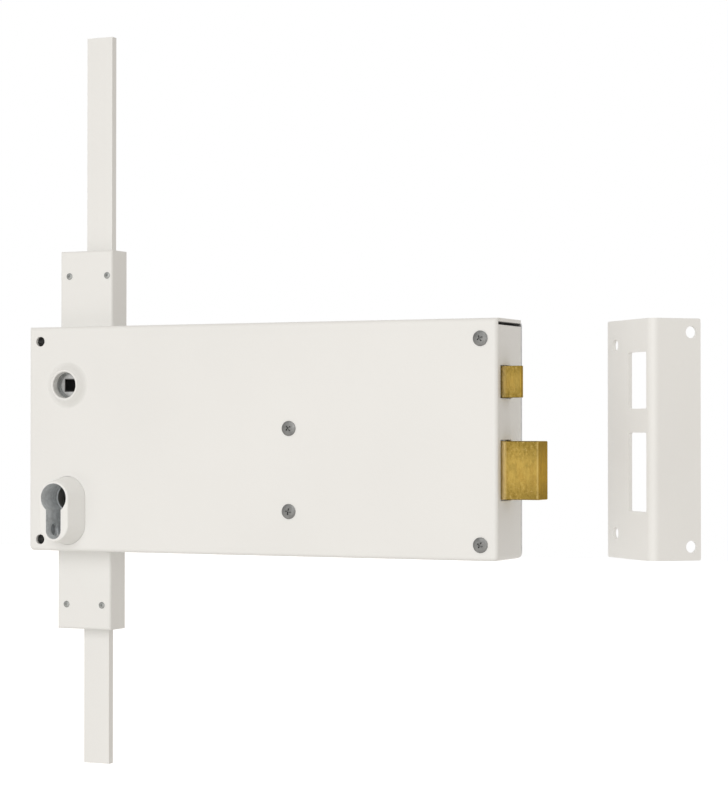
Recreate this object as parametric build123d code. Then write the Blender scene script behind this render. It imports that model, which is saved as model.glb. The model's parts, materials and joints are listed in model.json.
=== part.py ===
# A surface-mounted three-point door lock with its two vertical rods and its angle keeper.
# X runs towards the bolts and Z up. The door face is at Y = 0 and the room side faces -Y.
# The origin is the middle of the case's back face. Heights are measured from the door face
# towards the room, so a height h lies at Y = -h. All lengths are in millimetres.
# The lock is modelled locked: the deadbolt and both rods are thrown.
import os
from math import acos, cos, dist, pi, radians, sin, sqrt, tan

from build123d import *

# Case
case_width = 316
plate_sheet = 2
plate_corner_radius = 3.5
cover_sheet = 2
cover_fold_radius = 2.5
cover_bend_radius = 2.6
open_seam_gap = 1.9

# Running and assembly clearances, and the overrun of every cut
running_gap = 0.05
slide_gap = 0.15
loose_gap = 0.3
seat_gap = 0.3
cut_over = 1
full_round_share = 0.999
edge_match_share = 1.01

# Handle follower and key cylinder, on one vertical line
backset_from_left = 28
follower_below_top = 36.5
handle_to_cylinder = 70
cylinder_above_bottom = 33.5
spindle_square = 7.2
follower_journal_radius = 5.95
follower_body_radius = 9.5
follower_nose_radius = 6.7
follower_nose_recess = 3.7
follower_arm_reach = 15
follower_tip_radius = 3
follower_skirt = 3.5

boss_base_radius = 14.2
boss_rim_radius = 9.9
boss_rim_rise = 0.8
boss_hole_radius = 8.1
boss_height = 4
boss_flare_radius = 8
bush_wall = 1.3
bush_flange = 2.5
bush_flange_sheet = 1.6
bush_front_recess = 0.9

keyhole_round_radius = 9
keyhole_neck_width = 10.6
keyhole_height = 34.4
collar_proud = 16
collar_base_wall = 4
collar_top_wall = 1.35
collar_flange = 1.4
collar_flange_sheet = 2
collar_edge_round = 0.9
collar_lip = 0.4
collar_lip_sheet = 1
collar_tube_wall = 1.2
collar_tube_end = 34
cam_sweep_radius = 15.3

# Gear train: one pinion drives the deadbolt rack and both slide racks
gear_module = 1
pinion_teeth = 20
pressure_angle = 20
tooth_backlash = 0.2
dedendum_share = 1.25
pinion_from_left = 60
pinion_above_cylinder = 36.5
pinion_over_tail = 0.8
pinion_lift = 3
bolt_throw = 21.5
rack_lead = 6
stud_radius = 3
stud_foot_radius = 6
stud_groove_depth = 0.6
stud_end = 1.5
clip_sheet = 0.8
clip_radius = 5.2
clip_mouth_angle = 70

# Rods, slides and their boxes
rod_width = 18.4
rod_sheet = 5
rod_off_door = 0.5
upper_rod_right_of_backset = 2.5
lower_rod_right_of_backset = 0.7
rod_run_outside = 22
upper_rod_top = 255.9
lower_rod_bottom = 206.4
slide_sheet = 3
slide_layer_gap = 0.8
slide_bar_offset = 11
slide_bar_width = 5
slide_spine = 6.75
slide_arm_height = 7.5
slide_bridge_height = 4.5
slide_over_pinion = 2
tail_over_slides = 5.5
tongue_width = 15.5
tongue_length = 20
tongue_screw_pitch = 10
tongue_screw_radius = 2
tongue_screw_head_radius = 3.5
tongue_screw_head_height = 1.6
notch_gap = 0.6
upper_tongue_gap = 1
lower_tongue_gap = 2.5

upper_box_left_room = 10.7
upper_box_right_room = 5.9
lower_box_left_room = 10.7
lower_box_right_room = 6.8
box_depth = 18
box_sheet = 1.5
box_fold_radius = 1.8
left_post_share = 0.5
upper_right_post_share = 0.65
lower_right_post_share = 0.31
upper_box_screw_from_end = 15.9
lower_box_screw_from_end = 15.5
box_post_radius = 1.85
box_screw_radius = 1.25
box_screw_head_radius = 2.1
box_screw_head_height = 0.7
box_screw_length = 8
ear_inner_gap = 1
ear_end_gap = 0.4
rod_guide_length = 4.4
rod_guide_roof = 5

# Deadbolt
bolt_head_height = 33.8
bolt_head_sheet = 14.4
bolt_front_room = 5.8
bolt_head_out = 22.6
bolt_head_length = 42.6
bolt_above_cylinder = 18.7
bolt_head_chamfer = 0.4
bolt_window_gap = 0.8
bolt_window_front_gap = 2.6
latch_window_gap = 0.5
bolt_lug_length = 16
bolt_lug_share = 0.55
bolt_tail_sheet = 5
bolt_tail_below_pinion = 26
bolt_tail_left_from_left = 26
talon_width = 12
cam_clearance = 3.2
rivet_radius = 2.5
rivet_inset = 4
rivet_head_sheet = 1.2
rivet_head_radius = 3.5

# Latch
latch_head_height = 18.3
latch_head_sheet = 14.4
latch_head_out = 11.5
latch_head_length = 28
latch_under_follower = 0.2
latch_tip = 3.6
latch_tail_width = 4.8
latch_tail_drop = 21.1
latch_tail_drop_from_right = 91
latch_tail_drop_run = 26
latch_hook_width = 5
latch_hook_over_tip = 0.5
latch_pocket_length = 10
latch_pin_radius = 1.25
latch_pin_length = 7.5
latch_rod_radius = 2
latch_rod_length = 42
spring_wire = 0.9
spring_radius = 3.5
spring_turns = 8
spring_length = 28
bracket_sheet = 2
bracket_side = 5
bracket_foot = 9

# Guides inside the case
head_guide_length = 13
head_guide_wall = 3
mid_guide_from_left = 182.5
mid_guide_length = 20
mid_guide_over = 6
guide_screw_over_bolt = 24.2
guide_screw_under_bolt = 25.4
guide_roof = 3
rack_guide_height = 20
rack_guide_wall = 5
rack_guide_lip = 3.5
rack_guide_roof = 1.8
tail_guide_length = 16
tail_guide_wall = 8
tail_guide_lip = 2
latch_guide_from_left = 92
latch_guide_length = 12
latch_guide_wall = 3
leaf_sheet = 0.6
leaf_width = 9
leaf_foot = 8
leaf_reach = 24
leaf_tip = 4

# Fasteners of the case
corner_screw_from_right = 10.4
corner_screw_from_top = 11.8
corner_screw_from_bottom = 9.2
corner_head_radius = 4.5
mid_head_radius = 4.5
case_screw_radius = 2.4
case_screw_length = 14
head_height = 1
head_round = 0.6
recess_width_share = 0.22
recess_reach_share = 0.62
recess_depth_share = 0.75
pillar_radius = 4
fixing_hole_radius = 3.1
fixing_from_left = 8.3
fixing_from_top = 9
fixing_from_bottom = 7
sleeve_wall = 0.9
door_hole_from_right = 38
door_hole_from_end = 15
cylinder_screw_drop = 18.9
cylinder_screw_radius = 2.4
cylinder_screw_head_radius = 4.4
cylinder_screw_head_height = 1.2
screw_block_width = 8.6
screw_block_height = 9.2
screw_block_top = 28.5

# Angle keeper, shown turned beside the lock
keeper_sheet = 2
keeper_height = 140
keeper_bend_radius = 5
keeper_turn = 45
keeper_corner_x = 237.5
keeper_corner_height = 1.5
keeper_front_leg = 55.7
keeper_side_leg = 32.2
keeper_slot_from_corner = 5.8
keeper_slot_width = 22
keeper_slot_round = 1
keeper_room_over_latch = 8.3
keeper_room_under_latch = 6.3
keeper_room_over_bolt = 4.8
keeper_room_under_bolt = 7.2
keeper_hole_radius = 3.5
keeper_front_hole_from_corner = 45.4
keeper_front_hole_from_end = 14.5
keeper_side_hole_from_corner = 26.1
keeper_side_hole_from_end = 8
keeper_end_round = 1.2

# Places worked out from the sizes above
left = -case_width / 2
right = case_width / 2
case_height = follower_below_top + handle_to_cylinder + cylinder_above_bottom
top = case_height / 2
bottom = -case_height / 2
axis_x = left + backset_from_left
follower_z = top - follower_below_top
cylinder_z = bottom + cylinder_above_bottom
keyhole_bottom = cylinder_z + keyhole_round_radius - keyhole_height
pinion_x = left + pinion_from_left
pinion_z = cylinder_z + pinion_above_cylinder
pitch_radius = gear_module * pinion_teeth / 2
tooth_pitch = pi * gear_module
tip_radius = pitch_radius + gear_module
root_depth = gear_module * dedendum_share
pinion_low = plate_sheet + pinion_lift

upper_rod_x = axis_x + upper_rod_right_of_backset
lower_rod_x = axis_x + lower_rod_right_of_backset
rod_half = rod_width / 2
rod_front = rod_off_door + rod_sheet
rod_inner_end = top + rod_run_outside
upper_box_height = rod_run_outside + tongue_length + upper_tongue_gap + rod_guide_length + box_sheet
lower_box_height = rod_run_outside + tongue_length + lower_tongue_gap + rod_guide_length + box_sheet
corner_screw_heights = (top - corner_screw_from_top, bottom + corner_screw_from_bottom)
fixing_heights = (top - fixing_from_top, bottom + fixing_from_bottom)
door_hole_height = top - door_hole_from_end
upper_layer = rod_front
upper_layer_front = upper_layer + slide_sheet
lower_layer = upper_layer_front + slide_layer_gap
lower_layer_front = lower_layer + slide_sheet
bar_left = axis_x + slide_bar_offset
bar_right = bar_left + slide_bar_width

tail_back = lower_layer_front + tail_over_slides
tail_front = tail_back + bolt_tail_sheet
pinion_high = tail_front + pinion_over_tail
tail_top = pinion_z - pitch_radius - root_depth
bolt_tail_bottom = pinion_z - bolt_tail_below_pinion
bolt_head_centre = cylinder_z + bolt_above_cylinder
guide_screw_high = bolt_head_centre + guide_screw_over_bolt
guide_screw_low = bolt_head_centre - guide_screw_under_bolt
latch_head_centre = follower_z - latch_under_follower
bolt_tip = right + bolt_head_out
bolt_head_front = tail_back + bolt_head_sheet
cover_inside = bolt_head_front + bolt_front_room
case_depth = cover_inside + cover_sheet
bolt_head_rear = bolt_tip - bolt_head_length
latch_front = bolt_head_front
latch_back = latch_front - latch_head_sheet
latch_tip_x = right + latch_head_out
latch_rear = latch_tip_x - latch_head_length
latch_arm_top = follower_z + follower_arm_reach + follower_tip_radius
latch_tail_low = latch_arm_top + latch_hook_over_tip
latch_tail_high = latch_tail_low + latch_tail_width


# Basic forms

def slab(outline, low, high):
    # A flat piece between two heights over the door
    return extrude(Plane.XZ.offset(low) * outline, amount=high - low, dir=(0, -1, 0))


def field(x_low, x_high, z_low, z_high):
    # An upright rectangle between two X and two Z places
    middle = Pos((x_low + x_high) / 2, (z_low + z_high) / 2)
    return middle * Rectangle(x_high - x_low, z_high - z_low)


def disc(x, z, radius):
    return Pos(x, z) * Circle(radius)


def outline(*points):
    return Polygon(*points, align=None)


def turned(points, x, z):
    # A round piece from radius and height pairs, about an axis square to the door
    profile = Plane(origin=(0, 0, 0), x_dir=(1, 0, 0), z_dir=(0, 0, -1)) * outline(*points)
    return Pos(x, 0, z) * revolve(profile, axis=Axis.Y)


def keyhole(grow):
    # Round top with a narrower round-ended foot, as the key cylinder's profile
    foot_radius = keyhole_neck_width / 2
    foot_z = keyhole_bottom + foot_radius
    neck = field(axis_x - foot_radius - grow, axis_x + foot_radius + grow, foot_z, cylinder_z)
    ring = disc(axis_x, cylinder_z, keyhole_round_radius + grow)
    return ring + neck + disc(axis_x, foot_z, foot_radius + grow)


def obround(width, height, x, z):
    return Pos(x, z) * RectangleRounded(width, height, width / 2 * full_round_share)


def pan_screw(x, z, seat, head_radius, height, shank_radius, length):
    # A round head with a cross recess over a plain shank
    shank = slab(disc(x, z, shank_radius), seat - length, seat)
    round_over = min(head_round, height / 2)
    profile = [(0, seat), (head_radius, seat), (head_radius, seat + height - round_over)]
    profile += [(head_radius - round_over, seat + height), (0, seat + height)]
    head = turned(profile, x, z)
    reach = head_radius * recess_reach_share
    half = head_radius * recess_width_share / 2
    recess_floor = seat + height * (1 - recess_depth_share)
    cross = field(x - reach, x + reach, z - half, z + half)
    cross += field(x - half, x + half, z - reach, z + reach)
    return shank + head - slab(cross, recess_floor, seat + height + cut_over)


def rivet(x, z, low, high, shank_radius, head_sheet, head_radius):
    shank = slab(disc(x, z, shank_radius), low, high)
    return shank + slab(disc(x, z, head_radius), high, high + head_sheet)


def involute(angle):
    return tan(angle) - angle


def pinion_outline():
    # Teeth with involute flanks, one tooth centred on each of the four axes
    base_radius = pitch_radius * cos(radians(pressure_angle))
    half_tooth = pi / 2 / pinion_teeth + involute(radians(pressure_angle))
    flank_shares = [0, 0.35, 0.7, 1]
    radii = [base_radius + (tip_radius - base_radius) * share for share in flank_shares]
    flank = [(pitch_radius - root_depth, half_tooth)]
    flank += [(radius, half_tooth - involute(acos(base_radius / radius))) for radius in radii]
    points = []
    for tooth in range(pinion_teeth):
        middle = 2 * pi * tooth / pinion_teeth
        points += [(radius, middle - angle) for radius, angle in flank]
        points += [(radius, middle + angle) for radius, angle in reversed(flank)]
    return outline(*[(radius * cos(angle), radius * sin(angle)) for radius, angle in points])


def rack_outline(body_depth):
    # Teeth point up from the pitch line on the X axis, with a gap at the origin
    start = -rack_lead
    end = bolt_throw + rack_lead
    body = field(start, end, -root_depth - body_depth, -root_depth)
    slope = tan(radians(pressure_angle))
    half_pitch = (tooth_pitch / 2 - tooth_backlash) / 2
    half_top = half_pitch - gear_module * slope
    half_foot = half_pitch + root_depth * slope
    first = int((start + half_foot) / tooth_pitch - 1 / 2)
    last = int((end - half_foot) / tooth_pitch - 1 / 2)
    for tooth in range(first, last + 1):
        middle = (tooth + 1 / 2) * tooth_pitch
        body += outline(
            (middle - half_foot, -root_depth), (middle + half_foot, -root_depth),
            (middle + half_top, gear_module), (middle - half_top, gear_module),
        )
    return body


def helix_point(turn_angle):
    rise = spring_length / spring_turns / 2 / pi
    return (
        Vector(spring_radius * cos(turn_angle), spring_radius * sin(turn_angle), rise * turn_angle),
        Vector(-spring_radius * sin(turn_angle), spring_radius * cos(turn_angle), rise).normalized(),
    )


def coil_path():
    # The spring's centre line: two tangent arcs for each half turn of the helix
    arcs = []
    for half_turn in range(2 * spring_turns):
        start, start_way = helix_point(pi * half_turn)
        end, end_way = helix_point(pi * (half_turn + 1))
        chord = end - start
        ways = start_way + end_way
        spread = 2 * (1 - start_way.dot(end_way))
        along = chord.dot(ways)
        reach = (sqrt(along * along + spread * chord.dot(chord)) - along) / spread
        middle = ((start + start_way * reach) + (end - end_way * reach)) * 0.5
        first = TangentArc(start, middle, tangent=start_way)
        arcs += [first, TangentArc(middle, end, tangent=first % 1)]
    return Wire(arcs)


# The box over each rod: side 1 is the upper one and -1 the lower

def rod_place(side):
    return upper_rod_x if side > 0 else lower_rod_x


def box_height(side):
    return upper_box_height if side > 0 else lower_box_height


def box_inside(side):
    # The box's inner left and right faces
    if side > 0:
        rooms = (upper_box_left_room, upper_box_right_room)
    else:
        rooms = (lower_box_left_room, lower_box_right_room)
    return rod_place(side) - rod_half - rooms[0], rod_place(side) + rod_half + rooms[1]


def box_screw_places(side):
    # X of the two screws, which stand in the rooms beside the rod, and their Z
    inner_left, inner_right = box_inside(side)
    rod = rod_place(side)
    right_post_share = upper_right_post_share if side > 0 else lower_right_post_share
    from_end = upper_box_screw_from_end if side > 0 else lower_box_screw_from_end
    left_x = rod - rod_half + (inner_left - rod + rod_half) * left_post_share
    right_x = rod + rod_half + (inner_right - rod - rod_half) * right_post_share
    z = side * (top + box_height(side) - from_end)
    return [(left_x, z), (right_x, z)]


# Case pieces

def make_back_plate():
    sheet = Pos(0, 0) * RectangleRounded(case_width, case_height, plate_corner_radius)
    # Two ears reach under each rod box, one on each side of the rod
    for side in (1, -1):
        rod = rod_place(side)
        end = side * (top + box_height(side) - box_sheet - ear_end_gap)
        inner_left, inner_right = box_inside(side)
        ears = (
            (inner_left + slide_gap, rod - rod_half - ear_inner_gap),
            (rod + rod_half + ear_inner_gap, inner_right - slide_gap),
        )
        for ear_left, ear_right in ears:
            sheet += field(ear_left, ear_right, min(0, end), max(0, end))
    plate = slab(sheet, 0, plate_sheet)
    holes = keyhole(running_gap)
    holes += disc(axis_x, follower_z, follower_journal_radius + running_gap)
    for height in fixing_heights:
        holes += disc(left + fixing_from_left, height, fixing_hole_radius)
    for side in (1, -1):
        holes += disc(right - door_hole_from_right, side * door_hole_height, fixing_hole_radius)
    return plate - slab(holes, -cut_over, plate_sheet + cut_over)


def make_boss():
    # The flare pressed out of the front sheet round the handle hole, ending in a rounded rim
    boss_top = case_depth + boss_height
    rim_middle = (boss_hole_radius + boss_rim_radius) / 2
    rim_low = boss_top - boss_rim_rise
    foot_start = (boss_base_radius, case_depth)
    foot_end = (boss_rim_radius, rim_low)
    rise = dist(foot_start, foot_end)
    sag = boss_flare_radius - sqrt(boss_flare_radius ** 2 - rise ** 2 / 4)
    # The flare's middle point lies inwards and down from the middle of its chord
    normal = ((case_depth - rim_low) / rise, (boss_rim_radius - boss_base_radius) / rise)
    waist = (
        (foot_start[0] + foot_end[0]) / 2 + normal[0] * sag,
        (foot_start[1] + foot_end[1]) / 2 + normal[1] * sag,
    )
    plane = Plane(origin=(0, 0, 0), x_dir=(1, 0, 0), z_dir=(0, 0, -1))
    under = cover_inside
    line = Polyline((boss_hole_radius, rim_low), (boss_hole_radius, under), (boss_base_radius, under), foot_start)
    line += ThreePointArc(foot_start, waist, foot_end)
    line += ThreePointArc(foot_end, (rim_middle, boss_top), (boss_hole_radius, rim_low))
    return Pos(axis_x, 0, follower_z) * revolve(plane * make_face(line), axis=Axis.Y)


def bend_bottom_corners(block, radius):
    # The side walls and the bottom wall are one bent strip
    corners = block.edges().filter_by(Axis.Y).sort_by(Axis.Z)[:2]
    return fillet(corners, radius)


def make_cover():
    shell = slab(field(left, right, bottom, top), plate_sheet, case_depth)
    shell = bend_bottom_corners(shell, cover_bend_radius)
    shell = fillet(shell.faces().sort_by(Axis.Y)[0].edges(), cover_fold_radius)
    room = slab(
        field(left + cover_sheet, right - cover_sheet, bottom + cover_sheet, top - cover_sheet),
        plate_sheet - cut_over, cover_inside,
    )
    room = bend_bottom_corners(room, cover_bend_radius - cover_sheet)
    room = fillet(room.faces().sort_by(Axis.Y)[0].edges(), cover_fold_radius - cover_sheet)
    shell -= room
    # The side walls stop short of the top wall, which leaves an open seam at each top corner
    seams = field(left - cut_over, left + cover_sheet, top - cover_sheet - open_seam_gap, top - cover_sheet)
    seams += field(right - cover_sheet, right + cut_over, top - cover_sheet - open_seam_gap, top - cover_sheet)
    shell -= slab(seams, plate_sheet - cut_over, cover_inside)
    # Front holes
    holes = disc(axis_x, follower_z, boss_base_radius)
    holes += collar_outline(collar_base_wall + slide_gap)
    for height in fixing_heights:
        holes += disc(left + fixing_from_left, height, fixing_hole_radius)
    for height in corner_screw_heights:
        holes += disc(right - corner_screw_from_right, height, case_screw_radius + slide_gap)
    for height in (guide_screw_high, guide_screw_low):
        holes += disc(left + mid_guide_from_left, height, case_screw_radius + slide_gap)
    shell -= slab(holes, cover_inside - cut_over, case_depth + cut_over)
    shell += make_boss()
    # Windows for the deadbolt and the latch in the right wall
    bolt_half = bolt_head_height / 2 + bolt_window_gap
    bolt_window = field(right - cover_sheet - cut_over, right + cut_over,
                        bolt_head_centre - bolt_half, bolt_head_centre + bolt_half)
    shell -= slab(bolt_window, tail_back - bolt_window_gap, bolt_head_front + bolt_window_front_gap)
    latch_half = latch_head_height / 2 + latch_window_gap
    latch_window = field(right - cover_sheet - cut_over, right + cut_over,
                         latch_head_centre - latch_half, latch_head_centre + latch_half)
    shell -= slab(latch_window, latch_back - bolt_window_gap, latch_front + bolt_window_front_gap)
    # Notches for the slides at the back edge of the top and bottom walls
    notch_right = bar_right + notch_gap
    for side, layer in ((1, upper_layer_front), (-1, lower_layer_front)):
        notch_left = rod_place(side) - tongue_width / 2 - notch_gap
        wall_low = min(side * top, side * (top - cover_sheet)) - cut_over
        wall = field(notch_left, notch_right, wall_low, wall_low + cover_sheet + 2 * cut_over)
        shell -= slab(wall, plate_sheet - cut_over, layer + notch_gap)
    screw_z = cylinder_z - cylinder_screw_drop
    screw_hole = Pos(left, -(tail_back + tail_front) / 2, screw_z) * Rot(0, 90, 0) * Cylinder(
        cylinder_screw_radius + slide_gap, 4 * cover_sheet)
    return shell - screw_hole


def collar_outline(wall):
    # The obround that stands this far outside the keyhole
    width = 2 * (keyhole_round_radius + wall)
    height = keyhole_height + 2 * wall
    middle = cylinder_z + keyhole_round_radius - keyhole_height / 2
    return obround(width, height, axis_x, middle)


def make_cylinder_collar():
    front = case_depth + collar_proud
    base = Plane.XZ.offset(cover_inside) * collar_outline(collar_base_wall)
    step = Plane.XZ.offset(case_depth) * collar_outline(collar_base_wall)
    crown = Plane.XZ.offset(front) * collar_outline(collar_top_wall)
    body = extrude(base, amount=cover_sheet) + loft([step, crown])
    body = fillet(body.faces().sort_by(Axis.Y)[0].edges(), collar_edge_round)
    flange_front = cover_inside
    body += slab(collar_outline(collar_base_wall + collar_flange), flange_front - collar_flange_sheet, flange_front)
    # A tube carries the passage on into the case and ends in a thin lip round the cylinder
    body += slab(keyhole(collar_tube_wall), collar_tube_end, flange_front)
    body -= slab(keyhole(0), collar_tube_end - cut_over, front + cut_over)
    neck_half = keyhole_neck_width / 2
    lip = disc(axis_x, cylinder_z, keyhole_round_radius + collar_lip)
    lip -= disc(axis_x, cylinder_z, keyhole_round_radius - collar_lip)
    lip -= field(axis_x - neck_half, axis_x + neck_half, keyhole_bottom, cylinder_z)
    return body + slab(lip, collar_tube_end, collar_tube_end + collar_lip_sheet)


def make_follower_bush():
    outer = boss_hole_radius - running_gap
    inner = follower_nose_radius + running_gap
    seat = cover_inside
    face = case_depth - follower_nose_recess + bush_front_recess
    return turned([
        (inner, seat - bush_flange_sheet), (outer + bush_flange, seat - bush_flange_sheet),
        (outer + bush_flange, seat), (outer, seat), (outer, face + bush_flange_sheet),
        (inner + bush_wall / 2, face + bush_flange_sheet), (inner + bush_wall / 2, face), (inner, face),
    ], axis_x, follower_z)


def make_corner_screws():
    x = right - corner_screw_from_right
    return [
        pan_screw(x, height, case_depth, corner_head_radius, head_height, case_screw_radius, case_screw_length)
        for height in corner_screw_heights
    ]


def make_guide_screws():
    x = left + mid_guide_from_left
    return [
        pan_screw(x, height, case_depth, mid_head_radius, head_height, case_screw_radius, case_screw_length)
        for height in (guide_screw_high, guide_screw_low)
    ]


def make_cover_pillars():
    x = right - corner_screw_from_right
    bore = case_screw_radius + running_gap
    floor = case_depth - case_screw_length - cut_over
    pillars = []
    for height in corner_screw_heights:
        pillar = slab(disc(x, height, pillar_radius), plate_sheet, cover_inside)
        pillars.append(pillar - slab(disc(x, height, bore), floor, cover_inside + cut_over))
    return pillars


def make_fixing_sleeves():
    x = left + fixing_from_left
    sleeves = []
    for height in fixing_heights:
        ring = disc(x, height, fixing_hole_radius + sleeve_wall)
        ring -= disc(x, height, fixing_hole_radius)
        sleeves.append(slab(ring, plate_sheet, cover_inside))
    return sleeves


def make_screw_block():
    # The tapped block that the cylinder's fixing screw runs in
    screw_z = cylinder_z - cylinder_screw_drop
    end = axis_x - keyhole_neck_width / 2 - loose_gap
    block = slab(field(end - screw_block_width, end, screw_z - screw_block_height / 2,
                       screw_z + screw_block_height / 2), plate_sheet, screw_block_top)
    middle = Pos(end - screw_block_width / 2, -(tail_back + tail_front) / 2, screw_z)
    return block - middle * Rot(0, 90, 0) * Cylinder(cylinder_screw_radius + running_gap, 2 * screw_block_width)


def make_cylinder_screw():
    screw_z = cylinder_z - cylinder_screw_drop
    end = axis_x - keyhole_neck_width / 2 - loose_gap
    height = -(tail_back + tail_front) / 2
    length = end - left
    shank = Pos(left + length / 2, height, screw_z) * Rot(0, 90, 0) * Cylinder(cylinder_screw_radius, length)
    head = Pos(left - cylinder_screw_head_height / 2, height, screw_z) * Rot(0, 90, 0) * Cylinder(
        cylinder_screw_head_radius, cylinder_screw_head_height)
    head = chamfer(head.faces().sort_by(Axis.X)[0].edges(), cylinder_screw_head_height / 3)
    reach = cylinder_screw_head_radius * recess_reach_share
    half = cylinder_screw_head_radius * recess_width_share / 2
    cut = Pos(left - cylinder_screw_head_height, height, screw_z)
    depth = cylinder_screw_head_height
    cross = cut * Box(depth, 2 * reach, 2 * half) + cut * Box(depth, 2 * half, 2 * reach)
    return shank + head - cross


# Gear train

def make_pinion_stud():
    groove = pinion_high + running_gap
    end = groove + clip_sheet + stud_end
    return turned([
        (0, plate_sheet), (stud_foot_radius, plate_sheet), (stud_foot_radius, pinion_low - running_gap),
        (stud_radius, pinion_low - running_gap), (stud_radius, groove),
        (stud_radius - stud_groove_depth, groove), (stud_radius - stud_groove_depth, groove + clip_sheet),
        (stud_radius, groove + clip_sheet), (stud_radius, end), (0, end),
    ], pinion_x, pinion_z)


def make_pinion_clip():
    # An open spring clip in the stud's groove
    ring = disc(pinion_x, pinion_z, clip_radius)
    ring -= disc(pinion_x, pinion_z, stud_radius - stud_groove_depth + running_gap)
    reach = 2 * clip_radius
    half = reach * tan(radians(clip_mouth_angle / 2))
    ring -= outline((pinion_x, pinion_z), (pinion_x + reach, pinion_z - half), (pinion_x + reach, pinion_z + half))
    low = pinion_high + 2 * running_gap
    return slab(ring, low, low + clip_sheet - 2 * running_gap)


def make_drive_pinion():
    teeth = Pos(pinion_x, pinion_z) * pinion_outline()
    return slab(teeth - disc(pinion_x, pinion_z, stud_radius + running_gap), pinion_low, pinion_high)


def make_rack_guides():
    # Two blocks that hold the slides' spines against the pinion
    low, high = pinion_z - rack_guide_height / 2, pinion_z + rack_guide_height / 2
    spine_right = pinion_x + pitch_radius + root_depth + slide_spine
    right_guide = slab(field(pinion_x + tip_radius + cut_over, spine_right + rack_guide_wall, low, high),
                       plate_sheet, upper_layer_front + slide_gap + rack_guide_roof)
    right_guide -= slab(field(pinion_x, spine_right + slide_gap, bottom, top),
                        upper_layer - slide_gap, upper_layer_front + slide_gap)
    right_guide -= slab(field(pinion_x, spine_right - rack_guide_lip, bottom, top),
                        upper_layer, cover_inside)
    left_guide = slab(field(bar_left - rack_guide_wall, pinion_x - tip_radius - cut_over, low, high),
                      plate_sheet, lower_layer_front + slide_gap + rack_guide_roof)
    left_guide -= slab(field(bar_left - slide_gap, pinion_x, bottom, top),
                       lower_layer - slide_gap, lower_layer_front + slide_gap)
    left_guide -= slab(field(bar_left + rack_guide_lip, pinion_x, bottom, top), lower_layer, cover_inside)
    return [right_guide, left_guide]


# Rods

def make_upper_slide():
    rack = Pos(pinion_x + pitch_radius, pinion_z) * Rot(0, 0, 90) * rack_outline(slide_spine)
    spine_left = pinion_x + pitch_radius + root_depth
    spine_right = spine_left + slide_spine
    arm_low = pinion_z + tip_radius + slide_over_pinion + bolt_throw
    arm_high = arm_low + slide_arm_height
    shape = rack + field(spine_left, spine_right, pinion_z - rack_lead, arm_high)
    shape += field(bar_left, spine_right, arm_low, arm_high)
    bridge_high = top - cover_sheet - running_gap
    shape += field(bar_left, bar_right, arm_low, bridge_high)
    tongue_left = upper_rod_x - tongue_width / 2
    shape += field(tongue_left, bar_right, bridge_high - slide_bridge_height, bridge_high)
    shape += field(tongue_left, tongue_left + tongue_width, bridge_high - slide_bridge_height,
                   rod_inner_end + tongue_length)
    slide = slab(shape, upper_layer, upper_layer_front)
    return slide - tongue_holes(1, upper_layer, upper_layer_front)


def make_lower_slide():
    rack = Pos(pinion_x - pitch_radius, pinion_z) * Rot(0, 0, -90) * rack_outline(slide_spine)
    spine_right = pinion_x - pitch_radius - root_depth
    bar_low = -rod_inner_end
    rack_high = pinion_z + rack_lead
    bridge_high = bar_low + slide_bridge_height + slide_sheet
    shape = rack + field(bar_left, spine_right, rack_high - bolt_throw - 2 * rack_lead, rack_high)
    shape += field(bar_left, bar_right, bar_low, rack_high)
    tongue_left = lower_rod_x - tongue_width / 2
    shape += field(tongue_left, bar_right, bar_low, bridge_high)
    slide = slab(shape, lower_layer, lower_layer_front)
    # The joggle steps the bar down onto the rod's front face
    tongue_right = tongue_left + tongue_width
    slide += slab(field(tongue_left, tongue_right, bar_low - slide_sheet, bar_low), upper_layer, lower_layer_front)
    slide += slab(field(tongue_left, tongue_right, -rod_inner_end - tongue_length, bar_low),
                  upper_layer, upper_layer_front)
    return slide - tongue_holes(-1, upper_layer, upper_layer_front)


def tongue_screw_places(side):
    first = rod_inner_end + (tongue_length - tongue_screw_pitch) / 2 + slide_sheet / 2
    return [side * first, side * (first + tongue_screw_pitch)]


def tongue_holes(side, low, high):
    holes = Sketch()
    for z in tongue_screw_places(side):
        holes += disc(rod_place(side), z, tongue_screw_radius + running_gap)
    return slab(holes, low - cut_over, high + cut_over)


def make_rod(side, end):
    x = rod_place(side)
    inner_end = side * rod_inner_end
    outer_end = side * end
    bar = field(x - rod_half, x + rod_half, min(inner_end, outer_end), max(inner_end, outer_end))
    return slab(bar, rod_off_door, rod_front) - tongue_holes(side, rod_off_door, rod_front)


def make_coupling_screws(side):
    return [
        pan_screw(rod_place(side), z, upper_layer_front, tongue_screw_head_radius, tongue_screw_head_height,
                  tongue_screw_radius, slide_sheet + rod_sheet)
        for z in tongue_screw_places(side)
    ]


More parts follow.
